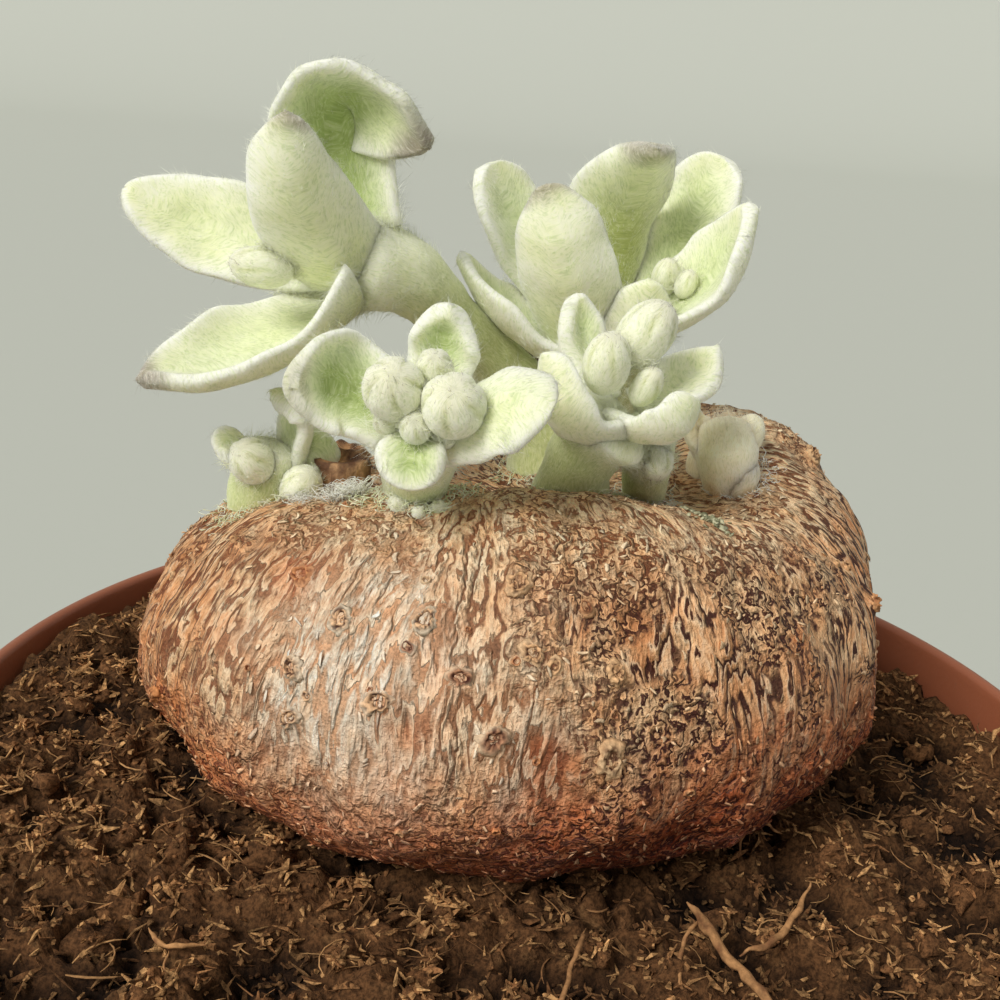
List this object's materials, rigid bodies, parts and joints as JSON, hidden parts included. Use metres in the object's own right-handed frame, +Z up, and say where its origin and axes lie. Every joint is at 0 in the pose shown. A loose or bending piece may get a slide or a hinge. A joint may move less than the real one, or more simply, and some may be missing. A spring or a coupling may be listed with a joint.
{
  "type": "potted caudex plant",
  "caption": "Rounded scaly caudex standing in soil in a flared round plastic pot, with woolly leafy shoots and bud clusters on its crown.",
  "frame": {"origin": "middle of the pot's foot, on the surface that it stands on", "axes": "+Z up, -Y towards the front of the plant as it is seen in the picture, +X to its right"},
  "size_m": [0.11, 0.11, 0.142],
  "materials": {
    "pot_plastic": "satin injection-moulded plastic, reddish brown",
    "soil_mix": "rough dark peat and coir crumbs with fibres",
    "caudex_bark": "dry fissured bark with fine tan scales",
    "woolly_leaf": "pale green under a dense coat of white wool",
    "dry_wool": "dried cream wool",
    "dry_stalk_bark": "dried red-brown stalk"
  },
  "bodies": {
    "root": {"pot": "pot_plastic", "soil": "soil_mix", "caudex": "caudex_bark", "tall_shoot": "woolly_leaf", "back_rosette": "woolly_leaf", "front_rosette": "woolly_leaf", "side_rosette": "woolly_leaf", "small_shoot": "woolly_leaf", "dry_shoot": "dry_wool", "dry_stalk": "dry_stalk_bark"}
  },
  "joints": []
}
